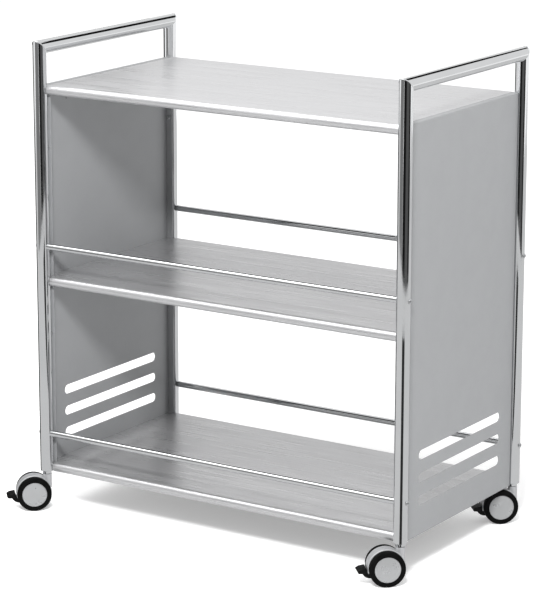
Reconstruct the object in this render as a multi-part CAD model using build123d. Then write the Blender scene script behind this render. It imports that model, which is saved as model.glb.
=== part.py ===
from build123d import *
import os

# Bar cart on four braked twin-wheel casters. Millimetres, +X to the right along the
# shelves, +Y to the back, +Z up. The floor is z = 0. The cart is drawn centred on its
# four posts and moved at the end, so that the origin is under the middle of its box.

# ---- driving dimensions -------------------------------------------------------------
post_spacing_x = 772.0  # between post centres, left to right
post_spacing_y = 414.0  # between post centres, front to back
tube_dia = 25.0
tube_wall = 1.5
handle_z = 878.0  # centre line of the handle bars
post_end_z = 73.0  # lower end of the post with its socket's rim
sheet = 1.5  # side panel sheet

bottom_shelf_top = 89.0
shelf_pitch = 360.0
shelf_thickness = 18.0
shelf_skin = 1.0
skin_return = 30.0  # the skin's turned-under strip along front and back

rail_dia = 12.0
rail_wall = 1.0
rail_over_shelf = 58.5  # rail centre above its shelf

slot_count = 3
slot_pitch = 41.5
slot_height = 18.0
slot_length = 296.0
top_slot_over_shelf = 127.0  # highest slot's centre above the bottom shelf

wheel_dia = 65.0
wheel_width = 12.5
hub_dia = 46.5
hood_width = 22.0
hood_radius = 33.4
trail = 26.0  # swivel axis to wheel axle
caster_rest = 42.0  # degrees that the casters stand turned about +Z
lever_width = 10.0
pad_width = 26.0
lever_pivot = (-14.0, -8.0)  # from the axle, backwards and down
trunnion_r = 2.5
rib_count = 24  # grooves across the hood's back, in degrees round the axle
rib_start = 72.0
rib_step = 4.5
rib_width = 1.1
rib_depth = 0.5

rail_screw_r = 3.0
panel_screw_r = 2.0
shelf_screw_r = 1.8
screw_clear_r = 2.3  # clearance hole for the panel and shelf screws

run_fit = 0.06  # radial clearance where a pin turns in a hole
face_gap = 0.3  # between parts that only sit beside each other
side_gap = 0.5  # beside a turning wheel or lever

# ---- derived dimensions -------------------------------------------------------------
tube_r = tube_dia / 2
bore_r = tube_r - tube_wall
rail_r = rail_dia / 2
half_x = post_spacing_x / 2
half_y = post_spacing_y / 2
wheel_r = wheel_dia / 2
hub_r = hub_dia / 2
bullnose_r = shelf_thickness / 2

shelf_tops = {
    "bottom": bottom_shelf_top,
    "middle": bottom_shelf_top + shelf_pitch,
    "top": bottom_shelf_top + 2 * shelf_pitch,
}
sides = {"left": -1, "right": 1}
ends = {"front": -1, "back": 1}

panel_flange = 14.0  # how far the panel's edges are turned in
panel_outer_x = half_x + 1.0
panel_inner_x = panel_outer_x - sheet
panel_half_y = half_y - tube_r - face_gap
panel_bottom = shelf_tops["bottom"] - shelf_thickness - sheet
panel_top = shelf_tops["top"]
panel_screw_x = panel_inner_x - 6.0
panel_screw_z = (338.0, 690.0)

shelf_half_x = panel_inner_x - face_gap
wing_half_x = panel_outer_x - panel_flange - side_gap
wing_half_y = panel_half_y - sheet - side_gap
shelf_corner = 4.0  # the shelf's corners stop this far short of the posts' centre plane

socket_rim = 1.5
socket_depth = 35.0
collar_r = 8.5
collar_z = 68.2
stem_r = 5.0
stem_top = 104.0
stem_bottom = 45.0
neck_r = 8.4
neck_top = 67.3
axle_r = 3.0
axle_reach = 20.0  # half length of the axle
wheel_inner_y = hood_width / 2 + side_gap
wheel_outer_y = wheel_inner_y + wheel_width


def rod(radius, start, end):
    """A plain round bar from one point to another."""
    line = Vector(*end) - Vector(*start)
    return extrude(Plane(start, z_dir=line) * Circle(radius), line.length)


def tube(outer, inner, start, end):
    return rod(outer, start, end) - rod(inner, start, end)


def block(low, high):
    """A box given by its lowest and highest corner."""
    size = [b - a for a, b in zip(low, high)]
    return Pos(*low) * Box(*size, align=(Align.MIN, Align.MIN, Align.MIN))


# ---- end frames ---------------------------------------------------------------------
def mitre_tool(sx, sy):
    """The handle bar's side of the 45 degree plane through the top of one post."""
    reach = 4 * post_spacing_y
    corner = Plane((sx * half_x, sy * half_y, handle_z), x_dir=(1, 0, 0), z_dir=(0, -sy, 1))
    return extrude(corner * Rectangle(reach, reach), reach)


def rail_heights():
    return [shelf_tops[name] + rail_over_shelf for name in ("middle", "bottom")]


def rail_screw(sx, sy, z):
    """Button-head screw through the post into the rail's end, along X."""
    face = half_x + tube_r
    head_r, head_h, reach = 4.5, 2.0, 36.0
    shank = rod(rail_screw_r, (sx * (face + 0.4), sy * half_y, z), (sx * (face - reach), sy * half_y, z))
    head = rod(head_r, (sx * (face - 2), sy * half_y, z), (sx * (face + head_h), sy * half_y, z))
    rim = head.edges().filter_by(GeomType.CIRCLE).sort_by(Axis.X)[-1 if sx > 0 else 0]
    head = fillet(rim, 1.3)
    hexagon = Plane((sx * (face + head_h), sy * half_y, z), z_dir=(-sx, 0, 0))
    head -= extrude(hexagon * RegularPolygon(2.3, 6), 1.2)
    head -= rod(tube_r, (sx * half_x, sy * half_y, z - 9), (sx * half_x, sy * half_y, z + 9))
    return head + shank


def panel_screw(sx, sy, z):
    """Pan-head screw through the panel's turned edge into the post, along Y."""
    inner = panel_half_y - sheet
    head_r, head_h, reach = 3.6, 2.0, 7.0
    at_x = sx * panel_screw_x
    head = rod(head_r, (at_x, sy * inner, z), (at_x, sy * (inner - head_h), z))
    rim = head.edges().filter_by(GeomType.CIRCLE).sort_by(Axis.Y)[0 if sy > 0 else -1]
    head = fillet(rim, 1.0)
    cross = Plane((at_x, sy * (inner - head_h), z), z_dir=(0, sy, 0))
    head -= extrude(cross * (Rectangle(4.0, 0.9) + Rectangle(0.9, 4.0)), 1.1)
    return head + rod(panel_screw_r, (at_x, sy * inner, z), (at_x, sy * (inner + reach), z))


def post(sx, sy):
    """Upright tube, mitred on top, drilled for the rail screws and the panel screws."""
    x, y = sx * half_x, sy * half_y
    lower = post_end_z + socket_rim
    body = tube(tube_r, bore_r, (x, y, lower), (x, y, handle_z + tube_dia)) - mitre_tool(sx, sy)
    for z in rail_heights():
        body -= rod(rail_screw_r, (x - tube_dia, y, z), (x + tube_dia, y, z))
    for z in panel_screw_z:
        body -= rod(panel_screw_r, (sx * panel_screw_x, y, z), (sx * panel_screw_x, y - sy * tube_dia, z))
    return body


def handle_bar(sx):
    """Bar that joins the tops of the front and the back post of one side."""
    x, reach = sx * half_x, half_y + tube_dia
    body = tube(tube_r, bore_r, (x, -reach, handle_z), (x, reach, handle_z))
    for sy in ends.values():
        body &= mitre_tool(sx, sy)
    return body


# ---- side panels --------------------------------------------------------------------
def slot_heights():
    top = shelf_tops["bottom"] + top_slot_over_shelf
    return [top - i * slot_pitch for i in range(slot_count)]


def side_panel(sx):
    """Sheet with all four edges turned in, and a row of rounded slots near the bottom."""
    bend_r = 2.0
    low = (panel_outer_x - panel_flange, -panel_half_y, panel_bottom)
    high = (panel_outer_x, panel_half_y, panel_top)
    tray = block(low, high)
    outer_face = tray.faces().sort_by(Axis.X)[-1]
    tray = fillet(outer_face.edges(), bend_r)
    hollow_low = (low[0] - 1, low[1] + sheet, low[2] + sheet)
    tray -= block(hollow_low, (high[0] - sheet, high[1] - sheet, high[2] - sheet))
    for z in slot_heights():
        side = Plane((half_x, 0, z), x_dir=(0, 1, 0), z_dir=(1, 0, 0))
        slot = side * SlotOverall(slot_length, slot_height)
        tray -= extrude(slot, 2 * panel_flange, both=True)
    for z in panel_screw_z:
        tray -= rod(screw_clear_r, (panel_screw_x, -half_y, z), (panel_screw_x, half_y, z))
    for x, y in shelf_screw_spots("bottom"):
        tray -= rod(screw_clear_r, (x, y, panel_bottom - 1), (x, y, panel_bottom + 2 * sheet))
    return tray if sx > 0 else mirror(tray, about=Plane.YZ)


# ---- shelves ------------------------------------------------------------------------
def shelf_screw_spots(name):
    """Places of one end's three screws of a shelf, on the right side."""
    inset = 8.0 if name == "bottom" else 20.0
    return [(panel_inner_x - inset, y) for y in (-120.0, 0.0, 120.0)]


def shelf_screw(x, y, under):
    """Pan-head wood screw driven up into the shelf's board."""
    head = rod(3.8, (x, y, under - 2.2), (x, y, under))
    head = fillet(head.edges().filter_by(GeomType.CIRCLE).sort_by(Axis.Z)[0], 1.0)
    cross = Plane((x, y, under - 2.2)) * (Rectangle(4.0, 0.9) + Rectangle(0.9, 4.0))
    return head - extrude(cross, 1.2) + rod(shelf_screw_r, (x, y, under), (x, y, under + 14))


def shelf_outline(top, grow):
    """Stadium section of the shelf, pulled out along its whole length."""
    section = Plane((-half_x, 0, top - bullnose_r), x_dir=(0, 1, 0), z_dir=(1, 0, 0))
    flat = SlotOverall(post_spacing_y + 2 * grow, shelf_thickness + 2 * grow)
    return extrude(section * flat, post_spacing_x)


def shelf_end_cut(name):
    """All that is cut from a shelf's right end. What is left reaches the panel's sheet, but for
    the top shelf only the panel's turned-in top edge, and hugs the posts' round sides."""
    low, high = shelf_tops[name] - 2 * shelf_thickness, shelf_tops[name] + shelf_thickness
    out_x, flange_y = half_x + 2 * face_gap, panel_half_y + face_gap
    reach_x = wing_half_x if name == "top" else shelf_half_x
    cut = block((reach_x, -flange_y, low), (out_x, flange_y, high))
    for sy in ends.values():
        near, far = sorted((sy * wing_half_y, sy * flange_y))
        cut += block((wing_half_x, near, low), (out_x, far, high))
        near, far = sorted((sy * flange_y, sy * (half_y + 1)))
        cut += block((half_x - shelf_corner, near, low), (out_x, far, high))
        cut += rod(tube_r + face_gap, (half_x, sy * half_y, low), (half_x, sy * half_y, high))
    return cut


def cut_ends(solid, name):
    cut = shelf_end_cut(name)
    return solid - cut - mirror(cut, about=Plane.YZ)


def shelf_skin_solid(name):
    """Brushed steel sheet over the top, rolled round both long edges and turned under."""
    top = shelf_tops[name]
    skin = shelf_outline(top, 0) - shelf_outline(top, -shelf_skin)
    open_y = half_y - bullnose_r - skin_return
    under = top - shelf_thickness
    skin -= block((-half_x, -open_y, under - 1), (half_x, open_y, under + shelf_skin + 1))
    return cut_ends(skin, name)


def shelf_board_solid(name):
    """Board that fills the skin, with pilot holes for the shelf screws."""
    top = shelf_tops[name]
    board = cut_ends(shelf_outline(top, -shelf_skin), name)
    low, high = top - shelf_thickness, top - shelf_thickness + shelf_skin + 13
    for x, y in shelf_screw_spots(name):
        for sx in sides.values():
            board -= rod(shelf_screw_r, (sx * x, y, low), (sx * x, y, high))
    return board


def shelf_angle(sx, name):
    """Steel angle spot-welded to the panel's inner face, under one end of a shelf."""
    leg, ledge_width, thick, length = 20.0, 28.0, 2.0, 260.0
    under = shelf_tops[name] - shelf_thickness + shelf_skin
    corner = (panel_inner_x, length / 2, under)
    upright = block((panel_inner_x - thick, -length / 2, under - leg), corner)
    ledge = block((panel_inner_x - ledge_width, -length / 2, under - thick), corner)
    angle = upright + ledge
    for x, y in shelf_screw_spots(name):
        angle -= rod(screw_clear_r, (x, y, under - leg), (x, y, under + 1))
    return angle if sx > 0 else mirror(angle, about=Plane.YZ)


# ---- rails --------------------------------------------------------------------------
def rail_body(radius, start, end):
    """A bar between two posts, its ends shaped to the posts' round sides."""
    bar = rod(radius, start, end)
    for sx in sides.values():
        x, y, z = sx * half_x, start[1], start[2]
        bar -= rod(tube_r, (x, y, z - tube_dia), (x, y, z + tube_dia))
    return bar


def rail(sy, z):
    start, end = (-half_x, sy * half_y, z), (half_x, sy * half_y, z)
    return rail_body(rail_r, start, end) - rod(rail_r - rail_wall, start, end)


def rail_plug(sx, sy, z):
    """Threaded plug inside one end of a rail."""
    length = 22.0
    y = sy * half_y
    inner = sx * (half_x - tube_r - length)
    plug = rail_body(rail_r - rail_wall, (sx * half_x, y, z), (inner, y, z))
    return plug - rod(rail_screw_r, (sx * half_x, y, z), (inner, y, z))


# ---- casters ------------------------------------------------------------------------
def corners():
    """Name, x, y of the four caster axes."""
    return [(f"{s}_{e}", sx * half_x, sy * half_y) for s, sx in sides.items() for e, sy in ends.items()]


def caster_socket(x, y):
    """Plug pressed into the post's end, with a rim and a collar round the stem."""
    rim = rod(tube_r, (0, 0, post_end_z), (0, 0, post_end_z + socket_rim))
    rim = fillet(rim.edges().filter_by(GeomType.CIRCLE).sort_by(Axis.Z)[0], 1.2)
    plug = rod(bore_r, (0, 0, post_end_z), (0, 0, post_end_z + socket_rim + socket_depth))
    collar = rod(collar_r, (0, 0, collar_z), (0, 0, post_end_z))
    return Pos(x, y, 0) * (rim + plug + collar - rod(stem_r, (0, 0, 0), (0, 0, stem_top)))


def caster_stem(x, y):
    stem = rod(stem_r, (0, 0, stem_bottom), (0, 0, stem_top))
    return Pos(x, y, 0) * chamfer(stem.edges().filter_by(GeomType.CIRCLE), 0.8)


def place(x, y, solid):
    """Puts a caster part under its post. It is drawn with the swivel axis at x = y = 0
    and the axle behind it at -X, then turned to the angle that the casters stand at."""
    return Pos(x, y, 0) * Rot(0, 0, caster_rest) * solid


def from_axle(dx, dz):
    return (-trail + dx, wheel_r + dz)


def side_view(face):
    """Moves a sketch from the XY plane to the caster's side view, XZ."""
    return Plane((0, 0, 0), x_dir=(1, 0, 0), z_dir=(0, -1, 0)) * face


def caster_hood():
    """Neck and hood in one moulding between the wheels, ribbed on top, with a pocket
    for the lever."""
    ax, az = from_axle(0, 0)
    body = rod(hood_radius, (ax, -hood_width / 2, az), (ax, hood_width / 2, az))
    body = fillet(body.edges().filter_by(GeomType.CIRCLE), 1.5)
    underside = Polyline(
        from_axle(-50.0, -9.0),
        from_axle(-29.0, -9.0),
        from_axle(-20.0, -15.0),
        from_axle(-12.0, -17.0),
        from_axle(6.0, -17.0),
        from_axle(22.0, -10.0),
        from_axle(50.0, -6.0),
        from_axle(50.0, -60.0),
        from_axle(-50.0, -60.0),
        close=True,
    )
    body -= extrude(side_view(make_face(underside)), hood_width, both=True)
    for i in range(rib_count):
        angle = rib_start + i * rib_step
        rib = Pos(hood_radius, 0, 0) * Box(2 * rib_depth, hood_width - 8.0, rib_width)
        body -= Pos(ax, 0, az) * Rot(0, -angle, 0) * rib
    neck = rod(neck_r, (0, 0, 40.0), (0, 0, neck_top))
    body += chamfer(neck.edges().filter_by(GeomType.CIRCLE), 0.8)
    pocket = lever_width / 2 + 0.4
    body -= block((ax - 60, -pocket, 0), (ax - 7.5, pocket, az - 2.0))
    body -= rod(stem_r + run_fit, (0, 0, stem_bottom - 0.5), (0, 0, neck_top + 1))
    body -= rod(axle_r, (ax, -hood_width, az), (ax, hood_width, az))
    px, pz = from_axle(*lever_pivot)
    return body - rod(trunnion_r + run_fit, (px, -9.3, pz), (px, 9.3, pz))


def brake_lever():
    """Foot lever: an arm that curves up from under the hood to a wide, flat wedge of a pad."""
    px, pz = from_axle(*lever_pivot)
    arm = Polyline(from_axle(-10.5, -11.5), from_axle(-17.0, -16.5), from_axle(-24.0, -19.5))
    arm += ThreePointArc(from_axle(-24.0, -19.5), from_axle(-35.5, -17.5), from_axle(-43.0, -7.5))
    arm += Polyline(from_axle(-43.0, -7.5), from_axle(-36.0, -3.0))
    arm += ThreePointArc(from_axle(-36.0, -3.0), from_axle(-31.0, -8.0), from_axle(-22.0, -8.0))
    arm += Polyline(from_axle(-22.0, -8.0), from_axle(-14.0, -3.5), from_axle(-10.5, -11.5))
    lever = extrude(side_view(make_face(arm)), lever_width / 2, both=True)
    lever += rod(4.6, (px, -lever_width / 2, pz), (px, lever_width / 2, pz))
    pad = Polyline(
        from_axle(-52.0, -4.5),
        from_axle(-49.5, -8.5),
        from_axle(-43.5, -9.0),
        from_axle(-33.8, -6.0),
        from_axle(-35.6, 1.0),
        from_axle(-46.0, -0.8),
        close=True,
    )
    pad = extrude(side_view(make_face(pad)), pad_width / 2, both=True)
    pad = fillet(pad.edges().filter_by(Axis.Y), 1.2)
    pad = fillet(pad.edges().group_by(Axis.Y)[0] + pad.edges().group_by(Axis.Y)[-1], 1.0)
    lever += pad
    return lever + rod(trunnion_r, (px, -9.0, pz), (px, 9.0, pz))


def caster_axle():
    ax, az = from_axle(0, 0)
    axle = rod(axle_r, (ax, -axle_reach, az), (ax, axle_reach, az))
    return chamfer(axle.edges().filter_by(GeomType.CIRCLE), 0.5)


def turned(points, side):
    """A solid turned about the axle from (radius, distance from the caster's middle)."""
    ax, az = from_axle(0, 0)
    section = Polyline(*[(r, side * y) for r, y in points], close=True)
    body = revolve(make_face(section), Axis.Y)
    return Pos(ax, 0, az) * body


def tyre(side):
    """Soft tread ring with rounded shoulders."""
    ring = turned(
        [
            (hub_r, wheel_inner_y),
            (wheel_r, wheel_inner_y),
            (wheel_r, wheel_outer_y),
            (hub_r, wheel_outer_y),
        ],
        side,
    )
    shoulders = [e for e in ring.edges().filter_by(GeomType.CIRCLE) if e.radius > wheel_r - 0.1]
    return fillet(shoulders, 3.0)


def wheel_disc(side):
    """Wheel centre: a hub that turns on the axle, a rim inside the tyre and the round
    cover that closes its outer side, slightly domed."""
    cover, rim, hub_boss = 3.0, 3.0, 7.0
    dome = wheel_outer_y + 0.6
    return turned(
        [
            (axle_r + run_fit, wheel_inner_y),
            (hub_boss, wheel_inner_y),
            (hub_boss, wheel_outer_y - cover),
            (hub_r - rim, wheel_outer_y - cover),
            (hub_r - rim, wheel_inner_y + 1.0),
            (hub_r, wheel_inner_y + 1.0),
            (hub_r, wheel_outer_y - 0.4),
            (hub_r - 0.8, wheel_outer_y),
            (hub_r - 2.5, wheel_outer_y + 0.2),
            (hub_r / 2, dome - 0.1),
            (0, dome),
            (0, axle_reach + 0.5),
            (axle_r + run_fit, axle_reach + 0.5),
        ],
        side,
    )


# ---- the whole cart -----------------------------------------------------------------
def group(solids):
    return Compound([part for s in solids for part in s.solids()])


def cart():
    """Every node of the cart by name, centred on the posts."""
    nodes = {}
    for side, sx in sides.items():
        for end, sy in ends.items():
            nodes[f"{side}_{end}_post"] = post(sx, sy)
        nodes[f"{side}_handle_bar"] = handle_bar(sx)
        nodes[f"{side}_side_panel"] = side_panel(sx)
        nodes[f"{side}_shelf_angles"] = group(shelf_angle(sx, n) for n in ("middle", "top"))
    for name in shelf_tops:
        nodes[f"{name}_shelf_skin"] = shelf_skin_solid(name)
        nodes[f"{name}_shelf_board"] = shelf_board_solid(name)
    for name in ("middle", "bottom"):
        for end, sy in ends.items():
            nodes[f"{name}_{end}_rail"] = rail(sy, shelf_tops[name] + rail_over_shelf)

    places = [(sx, sy, z) for sx in sides.values() for sy in ends.values() for z in rail_heights()]
    nodes["rail_screws"] = group(rail_screw(*p) for p in places)
    nodes["rail_end_plugs"] = group(rail_plug(*p) for p in places)
    nodes["panel_screws"] = group(
        panel_screw(sx, sy, z) for sx in sides.values() for sy in ends.values() for z in panel_screw_z
    )
    screws = []
    for name, top in shelf_tops.items():
        under = panel_bottom if name == "bottom" else top - shelf_thickness + shelf_skin - 2.0
        spots = [(sx * x, y) for x, y in shelf_screw_spots(name) for sx in sides.values()]
        screws += [shelf_screw(x, y, under) for x, y in spots]
    nodes["shelf_screws"] = group(screws)
    nodes["caster_sockets"] = group(caster_socket(x, y) for _, x, y in corners())

    hood, lever, axle = caster_hood(), brake_lever(), caster_axle()
    wheels = {"inner": 1, "outer": -1}
    tyres = {w: tyre(s) for w, s in wheels.items()}
    discs = {w: wheel_disc(s) for w, s in wheels.items()}
    for name, x, y in corners():
        nodes[f"{name}_caster_stem"] = caster_stem(x, y)
        nodes[f"{name}_caster_hood"] = place(x, y, hood)
        nodes[f"{name}_brake_lever"] = place(x, y, lever)
        nodes[f"{name}_axle"] = place(x, y, axle)
        for w in wheels:
            nodes[f"{name}_{w}_tyre"] = place(x, y, tyres[w])
            nodes[f"{name}_{w}_wheel"] = place(x, y, discs[w])
    return nodes


def to_origin(nodes):
    """The move that brings the middle of the cart's box over the origin."""
    box = group(nodes.values()).bounding_box()
    middle = box.center()
    return Pos(-middle.X, -middle.Y, -box.min.Z)


def main():
    nodes = cart()
    move = to_origin(nodes)
    os.makedirs("parts", exist_ok=True)
    for name, solid in nodes.items():
        export_step(move * solid, f"parts/{name}.step")
    print("moved by", [round(v, 3) for v in move.position])
    print(len(nodes), "nodes")


main()
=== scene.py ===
import math

import bpy
from mathutils import Matrix, Vector


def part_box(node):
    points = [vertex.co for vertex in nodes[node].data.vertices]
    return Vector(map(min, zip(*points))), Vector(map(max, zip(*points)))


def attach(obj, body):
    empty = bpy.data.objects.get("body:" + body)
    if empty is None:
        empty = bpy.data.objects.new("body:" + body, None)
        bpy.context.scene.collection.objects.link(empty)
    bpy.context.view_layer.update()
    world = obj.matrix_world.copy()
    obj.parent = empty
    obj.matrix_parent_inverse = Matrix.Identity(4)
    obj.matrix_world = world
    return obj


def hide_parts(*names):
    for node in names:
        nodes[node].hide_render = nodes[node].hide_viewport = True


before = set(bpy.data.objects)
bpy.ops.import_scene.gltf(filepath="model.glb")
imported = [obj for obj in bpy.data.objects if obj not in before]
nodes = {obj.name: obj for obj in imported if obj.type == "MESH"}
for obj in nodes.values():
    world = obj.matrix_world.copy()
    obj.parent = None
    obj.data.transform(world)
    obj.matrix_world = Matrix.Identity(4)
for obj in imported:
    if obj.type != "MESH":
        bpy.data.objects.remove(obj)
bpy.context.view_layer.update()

# ---- The room -----------------------------------------------------------------------
# The cart stands on a seamless pale floor under a white overhead sheet. Grey and black
# glowing sheets, seen only in reflections, stand and lie round it: painted reflections, so that the chrome has
# something to mirror.
mm = 0.001
scene = bpy.context.scene
scene.view_settings.view_transform = "Standard"

middle_of_posts = (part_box("left_front_post")[0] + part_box("right_back_post")[1]) / 2
ground = Vector((middle_of_posts.x, middle_of_posts.y, 0.0))
aim = ground + Vector((-41.5, -15.8, 439.7)) * mm
view_turn = math.radians(33.27)
view_drop = math.radians(13.554)
view_distance = 5.0667
toward = Vector((math.sin(view_turn) * math.cos(view_drop), -math.cos(view_turn) * math.cos(view_drop),
                 math.sin(view_drop)))

lens = bpy.data.cameras.new("camera")
lens.lens = 164.48
lens.sensor_width = 36.0
lens.shift_x = 0.039
lens.shift_y = -0.025
camera = bpy.data.objects.new("camera", lens)
camera.location = aim + toward * view_distance
camera.rotation_mode = "QUATERNION"
camera.rotation_quaternion = (-toward).to_track_quat("-Z", "Y")
scene.collection.objects.link(camera)
scene.camera = camera


def node_material(name, colour, metallic, roughness, **sockets):
    """A new material. Even values sit on the shader's own sockets."""
    made = bpy.data.materials.new(name)
    made.use_nodes = True
    shader = made.node_tree.nodes["Principled BSDF"]
    shader.inputs["Base Color"].default_value = (*colour, 1.0)
    shader.inputs["Metallic"].default_value = metallic
    shader.inputs["Roughness"].default_value = roughness
    for socket, value in sockets.items():
        shader.inputs[socket.replace("_", " ")].default_value = value
    return made


def noise(material, stretch, detail=4.0, rough=0.55):
    """Noise that lies on the piece itself; stretch is how many grains fit in a metre
    along X, Y and Z."""
    tree = material.node_tree
    place = tree.nodes.new("ShaderNodeTexCoord")
    scale = tree.nodes.new("ShaderNodeVectorMath")
    scale.operation = "MULTIPLY"
    scale.inputs[1].default_value = stretch
    grains = tree.nodes.new("ShaderNodeTexNoise")
    grains.inputs["Scale"].default_value = 1.0
    grains.inputs["Detail"].default_value = detail
    grains.inputs["Roughness"].default_value = rough
    tree.links.new(place.outputs["Object"], scale.inputs[0])
    tree.links.new(scale.outputs[0], grains.inputs["Vector"])
    return grains.outputs["Fac"]


def bump(material, source, height, strength=1.0):
    """Raises the surface by noise; height is in metres."""
    tree = material.node_tree
    raised = tree.nodes.new("ShaderNodeBump")
    raised.inputs["Distance"].default_value = height
    raised.inputs["Strength"].default_value = strength
    tree.links.new(source, raised.inputs["Height"])
    tree.links.new(raised.outputs["Normal"], tree.nodes["Principled BSDF"].inputs["Normal"])


def mesh_piece(name, points, faces, material, smooth=True):
    """A mesh object from points in metres, in the cart's own frame."""
    mesh = bpy.data.meshes.new(name)
    mesh.from_pydata([tuple(p) for p in points], [], faces)
    mesh.materials.append(material)
    for face in mesh.polygons:
        face.use_smooth = smooth
    piece = bpy.data.objects.new(name, mesh)
    scene.collection.objects.link(piece)
    return piece


floor_paint = node_material("pale_floor", (0.90, 0.90, 0.90), 0.0, 0.9, Emission_Color=(1, 1, 1, 1),
                            Emission_Strength=0.25)
bump(floor_paint, noise(floor_paint, (60, 60, 60)), 0.0002)
reach = 30.0
floor = mesh_piece("floor", [(-reach, -reach, 0), (reach, -reach, 0), (reach, reach, 0), (-reach, reach, 0)],
                   [(0, 1, 2, 3)], floor_paint)

world = bpy.data.worlds.new("white_room")
world.use_nodes = True
sky = world.node_tree.nodes["Background"]
sky.inputs["Color"].default_value = (1.0, 1.0, 1.0, 1.0)
sky.inputs["Strength"].default_value = 0.86
scene.world = world


def soft_lamp(name, place, width, depth, power):
    """A square white lamp that faces the middle of the cart."""
    lamp = bpy.data.lights.new(name, "AREA")
    lamp.shape = "RECTANGLE"
    lamp.size = width
    lamp.size_y = depth
    lamp.energy = power
    holder = bpy.data.objects.new(name, lamp)
    holder.location = ground + Vector(place)
    holder.rotation_mode = "QUATERNION"
    holder.rotation_quaternion = (Vector((0, 0, 0.45)) - Vector(place)).to_track_quat("-Z", "Y")
    scene.collection.objects.link(holder)
    return holder


soft_lamp("overhead_sheet", (-0.9, -1.0, 2.9), 2.6, 2.0, 50.0)
front_lamp = soft_lamp("front_lamp", (1.4, -2.7, 2.9), 0.6, 0.6, 175.0)
front_lamp.visible_glossy = False

# Each upright painted reflection, a glowing band seen only in what the metal mirrors, runs from one bearing
# to another, in degrees to the right of the camera as the cart sees them. The last number is its brightness.
painted_reflections = [(-80, -27, 0.22), (-24, 10, 0.01), (10, 45, 0.1), (45, 66, 0.02), (-172, -112, 0.012)]
painted_reflection_distance = 2.6
painted_reflection_height = 1.3
painted_reflection_floor_z = 0.004


def painted_reflection(name, points, faces, brightness):
    """A glowing sheet that shows only in what the metal mirrors: a painted reflection, dark or pale by its
    brightness.
    """
    reflection_paint = bpy.data.materials.new(name)
    reflection_paint.use_nodes = True
    tree = reflection_paint.node_tree
    glow = tree.nodes.new("ShaderNodeEmission")
    glow.inputs["Color"].default_value = (1.0, 1.0, 1.0, 1.0)
    glow.inputs["Strength"].default_value = brightness
    tree.links.new(glow.outputs["Emission"], tree.nodes["Material Output"].inputs["Surface"])
    screen = mesh_piece(name, points, faces, reflection_paint)
    screen.visible_camera = False
    screen.visible_diffuse = False
    screen.visible_transmission = False
    screen.visible_shadow = False


def bearing(degrees, distance, height):
    """A point that far from the middle of the cart, at that bearing from the camera's."""
    angle = view_turn + math.radians(degrees)
    return ground + Vector((math.sin(angle) * distance, -math.cos(angle) * distance, height))


def strip(start, end, near, bottom, away, top):
    """Points and faces of a band that follows a circle round the cart."""
    steps = max(2, round((end - start) / 4))
    points = []
    for i in range(steps + 1):
        turn = start + (end - start) * i / steps
        points += [bearing(turn, near, bottom), bearing(turn, away, top)]
    return points, [(2 * i, 2 * i + 2, 2 * i + 3, 2 * i + 1) for i in range(steps)]


# Painted reflections: these upright bands glow and show only in what the metal mirrors.
for number, (start, end, brightness) in enumerate(painted_reflections):
    painted_reflection(f"flag_{number + 1}", *strip(start, end, painted_reflection_distance, 0, painted_reflection_distance, painted_reflection_height), brightness)

# On the floor, a pale glowing sheet and darker glowing wedges, seen only in reflections, spread from the posts'
# feet outward: painted reflections of the floor.
edge = 4.0
sheet = [(-edge, -edge), (edge, -edge), (edge, edge), (-edge, edge)]
# Painted reflection: this pale floor sheet glows and shows only in what the metal mirrors.
painted_reflection("floor_painted_reflection", [ground + Vector((x, y, painted_reflection_floor_z / 2)) for x, y in sheet], [(0, 1, 2, 3)], 0.70)


def fanned_painted_reflection(side, start, end, near, away, brightness):
    """A dark glowing wedge on the floor, seen only in reflections, fanned out from the foot of that side's front
    post: a painted reflection.
    """
    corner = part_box(f"{side}_front_post")[0]
    foot = Vector((corner.x, corner.y, 0)) - ground
    points, faces = strip(start, end, near, painted_reflection_floor_z, away, painted_reflection_floor_z)
    painted_reflection(f"{side}_foot_painted_reflection", [point + foot for point in points], faces, brightness)


# Painted reflections: dark glowing wedges that the front posts mirror.
fanned_painted_reflection("right", -15, 25, 0.12, 1.7, 0.03)
fanned_painted_reflection("left", -172, -112, 0.05, 2.2, 0.05)

# One more glowing sheet hangs level behind the cart, seen only in reflections, and draws the line along the handle
# bars: a painted reflection.
ceiling = [(-0.5, 1.2), (0.42, 1.2), (0.42, 2.4), (-0.5, 2.4)]
painted_reflection("ceiling_painted_reflection", [ground + Vector((x, y, 2.0)) for x, y in ceiling], [(0, 1, 2, 3)], 0.012)

# ---- End frames ---------------------------------------------------------------------
# Each end is two posts and a handle bar of 25 mm steel tube, mitred and welded at the
# top corners, ground, polished and chrome plated.
tube_r = 12.5 * mm
sides = ("left", "right")
ends = ("front", "back")


def dress(names, material):
    """Gives the CAD pieces their finish."""
    for name in names:
        for slot in nodes[name].material_slots:
            slot.material = material


def spread(material, source, low, high, middle=0.5, width=0.3):
    """Turns noise about its middle into a range of numbers."""
    tree = material.node_tree
    ranged = tree.nodes.new("ShaderNodeMapRange")
    ranged.inputs["From Min"].default_value = middle - width / 2
    ranged.inputs["From Max"].default_value = middle + width / 2
    ranged.inputs["To Min"].default_value = low
    ranged.inputs["To Max"].default_value = high
    tree.links.new(source, ranged.inputs["Value"])
    return ranged.outputs["Result"]


def tint(material, source, dark, light):
    """Colours the material between two shades by noise."""
    tree = material.node_tree
    ramp = tree.nodes.new("ShaderNodeValToRGB")
    ramp.color_ramp.elements[0].position = 0.3
    ramp.color_ramp.elements[0].color = (*dark, 1.0)
    ramp.color_ramp.elements[1].position = 0.7
    ramp.color_ramp.elements[1].color = (*light, 1.0)
    tree.links.new(source, ramp.inputs["Fac"])
    tree.links.new(ramp.outputs["Color"], tree.nodes["Principled BSDF"].inputs["Base Color"])


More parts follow.
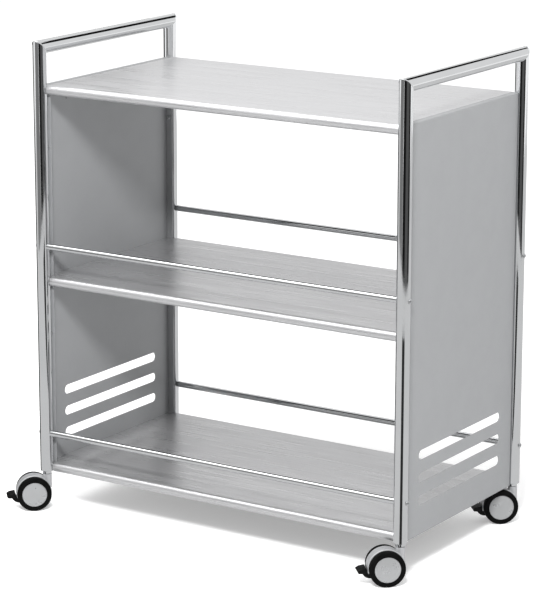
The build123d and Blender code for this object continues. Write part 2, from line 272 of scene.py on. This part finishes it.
def roughen(material, source):
    tree = material.node_tree
    tree.links.new(source, tree.nodes["Principled BSDF"].inputs["Roughness"])


chrome = node_material("chrome_plate", (0.73, 0.74, 0.75), 1.0, 0.05)
chrome_cloud = noise(chrome, (9, 9, 9))
tint(chrome, chrome_cloud, (0.70, 0.71, 0.72), (0.76, 0.77, 0.78))
roughen(chrome, spread(chrome, noise(chrome, (70, 70, 25)), 0.03, 0.075))
bump(chrome, noise(chrome, (420, 420, 60)), 0.000004)
dress([f"{s}_{e}_post" for s in sides for e in ends], chrome)
dress([f"{s}_handle_bar" for s in sides], chrome)

bead_half_width = 1.3 * mm


def weld_bead(side, end):
    """The low rounded seam left round a mitred corner after grinding."""
    post_low, post_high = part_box(f"{side}_{end}_post")
    x = (post_low.x + post_high.x) / 2
    y = (post_low.y + post_high.y) / 2
    corner = Vector((x, y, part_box(f"{side}_handle_bar")[1].z - tube_r))
    outward = -1 if end == "front" else 1
    around, across = 96, 10
    points, faces = [], []
    for i in range(around):
        a = 2 * math.pi * i / around
        rim = Vector((tube_r * math.cos(a), outward * tube_r * math.sin(a), tube_r * math.sin(a)))
        out = Vector((math.cos(a), outward * math.sin(a) * 0.5, math.sin(a) * 0.5)).normalized()
        along = Vector((-math.sin(a), outward * math.cos(a), math.cos(a))).normalized()
        side_way = out.cross(along).normalized()
        height = (0.38 + 0.05 * math.sin(17 * a) + 0.03 * math.sin(41 * a)) * mm
        for j in range(across):
            b = 2 * math.pi * j / across
            point = corner + rim + out * (height * math.cos(b) - 0.1 * mm)
            point += side_way * bead_half_width * math.sin(b)
            point.z = min(point.z, corner.z + tube_r - 0.02 * mm)
            points.append(point)
    for i in range(around):
        for j in range(across):
            n, m = (i + 1) % around, (j + 1) % across
            faces.append((i * across + j, n * across + j, n * across + m, i * across + m))
    bead = mesh_piece(f"{side}_{end}_weld_bead", points, faces, chrome)
    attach(bead, "cart")


for s in sides:
    for e in ends:
        weld_bead(s, e)

# ---- Side panels --------------------------------------------------------------------
# One steel sheet at each end with its edges turned in, slotted near the bottom, powder
# coated a satin silver grey and screwed to the posts through its turned edges.
panel_coat = node_material("silver_coat", (0.28, 0.285, 0.292), 0.25, 0.42, Coat_Weight=0.15, Coat_Roughness=0.35)
flakes = noise(panel_coat, (2600, 2600, 2600), detail=2.0)
tint(panel_coat, flakes, (0.265, 0.27, 0.277), (0.295, 0.30, 0.308))
roughen(panel_coat, spread(panel_coat, noise(panel_coat, (25, 25, 25)), 0.38, 0.47))
bump(panel_coat, noise(panel_coat, (700, 700, 700), detail=2.0), 0.00001)
dress([f"{s}_side_panel" for s in sides], panel_coat)

zinc = node_material("zinc_plate", (0.62, 0.63, 0.64), 1.0, 0.3)
tint(zinc, noise(zinc, (180, 180, 180)), (0.56, 0.57, 0.57), (0.68, 0.69, 0.71))
roughen(zinc, spread(zinc, noise(zinc, (500, 500, 500)), 0.22, 0.38))
dress(["panel_screws"], zinc)

# ---- Shelves ------------------------------------------------------------------------
# A stainless sheet, brushed along its length, is rolled round a board's front and back
# edge. Angles welded to the panels, coated with them, carry the ends, with screws from below.
brushed = node_material("brushed_steel", (0.62, 0.62, 0.63), 0.85, 0.36, Anisotropic=0.5,
                        Anisotropic_Rotation=0.25)
strokes = noise(brushed, (2.5, 1100, 1100), detail=2.0)
tint(brushed, strokes, (0.57, 0.57, 0.58), (0.68, 0.68, 0.69))
roughen(brushed, spread(brushed, noise(brushed, (7, 260, 260)), 0.26, 0.44))
bump(brushed, strokes, 0.00002)
brushed_tree = brushed.node_tree
lengthwise = brushed_tree.nodes.new("ShaderNodeCombineXYZ")
lengthwise.inputs["X"].default_value = 1.0
brushed_tree.links.new(lengthwise.outputs["Vector"], brushed_tree.nodes["Principled BSDF"].inputs["Tangent"])
dress([f"{n}_shelf_skin" for n in ("bottom", "middle", "top")], brushed)

# The board's near-black colour is painted shade: it keeps the shelf undersides dark in what the rails mirror.
board_painted_shade = node_material("dark_board_painted_shade", (0.035, 0.035, 0.035), 0.0, 0.55)
tint(board_painted_shade, noise(board_painted_shade, (300, 300, 300)), (0.030, 0.030, 0.030), (0.040, 0.040, 0.040))
roughen(board_painted_shade, spread(board_painted_shade, noise(board_painted_shade, (900, 900, 900)), 0.48, 0.62))
bump(board_painted_shade, noise(board_painted_shade, (900, 900, 900)), 0.00003)
dress([f"{n}_shelf_board" for n in ("bottom", "middle", "top")], board_painted_shade)
dress([f"{s}_shelf_angles" for s in sides], panel_coat)
dress(["shelf_screws"], zinc)

# ---- Rails --------------------------------------------------------------------------
# Chromed 12 mm tubes across the front and back, one over each of the two lower shelves,
# drawn tight to the posts by button-head screws in their threaded end plugs.
dress([f"{n}_{e}_rail" for n in ("middle", "bottom") for e in ends], chrome)
dress(["rail_screws", "rail_end_plugs"], zinc)

# ---- Casters ------------------------------------------------------------------------
# Twin-wheel casters. A plated socket closes each post and holds the stem. The hood is
# moulded in silver nylon, the tyres in black rubber and the brake lever in black nylon.
dress(["caster_sockets"], chrome)

silver_nylon = node_material("silver_nylon", (0.42, 0.425, 0.435), 0.45, 0.36)
tint(silver_nylon, noise(silver_nylon, (3000, 3000, 3000), detail=2.0), (0.39, 0.395, 0.405), (0.45, 0.455, 0.465))
roughen(silver_nylon, spread(silver_nylon, noise(silver_nylon, (60, 60, 60)), 0.32, 0.42))
bump(silver_nylon, noise(silver_nylon, (1400, 1400, 1400), detail=2.0), 0.00001)

black_nylon = node_material("black_nylon", (0.003, 0.003, 0.003), 0.0, 0.42, Specular_IOR_Level=0.15)
tint(black_nylon, noise(black_nylon, (120, 120, 120)), (0.002, 0.002, 0.002), (0.004, 0.004, 0.004))
roughen(black_nylon, spread(black_nylon, noise(black_nylon, (400, 400, 400)), 0.36, 0.5))
bump(black_nylon, noise(black_nylon, (1800, 1800, 1800)), 0.00003)

tread = node_material("tread_rubber", (0.003, 0.003, 0.003), 0.0, 0.6, Specular_IOR_Level=0.05)
tint(tread, noise(tread, (90, 90, 90)), (0.002, 0.002, 0.002), (0.004, 0.004, 0.004))
roughen(tread, spread(tread, noise(tread, (300, 300, 300)), 0.5, 0.7))
bump(tread, noise(tread, (1500, 1500, 1500)), 0.00004)

for s in sides:
    for e in ends:
        n = f"{s}_{e}"
        dress([f"{n}_caster_stem", f"{n}_axle"], zinc)
        dress([f"{n}_caster_hood"], silver_nylon)
        dress([f"{n}_brake_lever"], black_nylon)
        dress([f"{n}_inner_tyre", f"{n}_outer_tyre"], tread)

# ---- Swivel rings -------------------------------------------------------------------
# A black nylon ring, turned to a low barrel, fills the gap between each caster's neck and
# the socket above it, and keeps dust out of the swivel.
# Radius and height of the ring's section, in millimetres.
ring_section = [(5.2, 67.36), (7.9, 67.36), (8.3, 67.55), (8.3, 67.95), (7.9, 68.14), (5.2, 68.14)]
steps = 64


def caster_axis(name):
    stem_low, stem_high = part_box(f"{name}_caster_stem")
    return Vector(((stem_low.x + stem_high.x) / 2, (stem_low.y + stem_high.y) / 2, 0))


def seal_ring(name):
    points, faces = [], []
    count = len(ring_section)
    for i in range(steps):
        a = 2 * math.pi * i / steps
        points += [caster_axis(name) + Vector((r * math.cos(a), r * math.sin(a), z)) * mm for r, z in ring_section]
    for i in range(steps):
        for j in range(count):
            n, m = (i + 1) % steps, (j + 1) % count
            faces.append((i * count + j, n * count + j, n * count + m, i * count + m))
    ring = mesh_piece(f"{name}_seal_ring", points, faces, black_nylon)
    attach(ring, "cart")


for s in sides:
    for e in ends:
        seal_ring(f"{s}_{e}")

# ---- Brake pads ---------------------------------------------------------------------
# Four low half-round ribs with rounded ends cross the foot pad of each brake lever, moulded
# with it in black nylon, so that a shoe doesn't slip.
caster_rest = 42.0  # degrees that the casters stand turned
caster_turn = Matrix.Rotation(math.radians(caster_rest), 3, "Z")
trail, wheel_r = 26.0, 32.5


def pad_ribs(name):
    """Four half-round ribs with rounded ends, set into the pad's upper face."""
    front, back = Vector((-37.4, 0, 0.72)), Vector((-44.8, 0, -0.6))
    slope = (back - front).normalized()
    up = Vector((-slope.z, 0, slope.x)) * -1
    points, faces = [], []
    rings = [(-9.0, 0.12), (-8.8, 0.34), (-8.4, 0.5), (8.4, 0.5), (8.8, 0.34), (9.0, 0.12)]
    around = 12
    for k in range(4):
        centre = front + (back - front) * k / 3
        first = len(points)
        for y, radius in rings:
            for j in range(around):
                b = 2 * math.pi * j / around
                local = centre + slope * radius * math.cos(b) + up * radius * math.sin(b) + Vector((0, y, 0))
                local += Vector((-trail, 0, wheel_r))
                points.append(caster_axis(name) + caster_turn @ local * mm)
        for i in range(len(rings) - 1):
            for j in range(around):
                m = (j + 1) % around
                faces.append((first + i * around + j, first + (i + 1) * around + j,
                              first + (i + 1) * around + m, first + i * around + m))
        faces.append(tuple(first + j for j in range(around)))
        last = first + (len(rings) - 1) * around
        faces.append(tuple(last + j for j in reversed(range(around))))
    ribs = mesh_piece(f"{name}_pad_ribs", points, faces, black_nylon)
    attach(ribs, f"{name}_lever")


for s in sides:
    for e in ends:
        pad_ribs(f"{s}_{e}")

# ---- Wheel centres ------------------------------------------------------------------
# Each is one silver nylon moulding: a hub on the axle, a rim inside the tyre and the cover
# that closes its outer side, with a bevelled edge and a low dome.
silver_cover = node_material("silver_cover", (0.33, 0.335, 0.34), 0.45, 0.3)
tint(silver_cover, noise(silver_cover, (3000, 3000, 3000), detail=2.0), (0.325, 0.33, 0.335), (0.345, 0.35, 0.355))
roughen(silver_cover, spread(silver_cover, noise(silver_cover, (60, 60, 60)), 0.26, 0.36))
bump(silver_cover, noise(silver_cover, (120, 120, 120), detail=2.0), 0.00002)

# Radius and distance from the caster's middle, in millimetres, from the axle outward.
hub_r, cover_y, dome_height = 23.25, 24.2, 0.4
bevel_r = hub_r - 2.5
rim_section = [(0, 20.5), (3.06, 20.5), (3.06, 11.5), (7.0, 11.5), (7.0, 21.0), (20.25, 21.0), (20.25, 12.5),
               (hub_r, 12.5), (hub_r, 23.6), (hub_r - 0.8, 24.0)]
dome_section = [(bevel_r * (1 - k / 8), cover_y + dome_height * (1 - (1 - k / 8) ** 2)) for k in range(9)]


def wheel_centre(name, wheel, side):
    section = rim_section + dome_section
    points, rows = [], []
    for r, y in section:
        rows.append(list(range(len(points), len(points) + (1 if r == 0 else steps))))
        for i in range(len(rows[-1])):
            a = 2 * math.pi * i / steps
            local = Vector((r * math.cos(a) - trail, side * y, wheel_r + r * math.sin(a)))
            points.append(caster_axis(name) + caster_turn @ local * mm)
    faces = []
    for near, far in zip(rows, rows[1:]):
        for i in range(steps):
            n = (i + 1) % steps
            corners = [near[i % len(near)], near[n % len(near)], far[n % len(far)], far[i % len(far)]]
            corners = list(dict.fromkeys(corners))
            faces.append(corners if side > 0 else corners[::-1])
    centre = mesh_piece(f"{name}_{wheel}_wheel_centre", points, faces, silver_cover)
    centre.data.set_sharp_from_angle(angle=math.radians(25))
    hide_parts(f"{name}_{wheel}_wheel")
    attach(centre, f"{name}_{wheel}_wheel_set")


for s in sides:
    for e in ends:
        wheel_centre(f"{s}_{e}", "inner", 1)
        wheel_centre(f"{s}_{e}", "outer", -1)
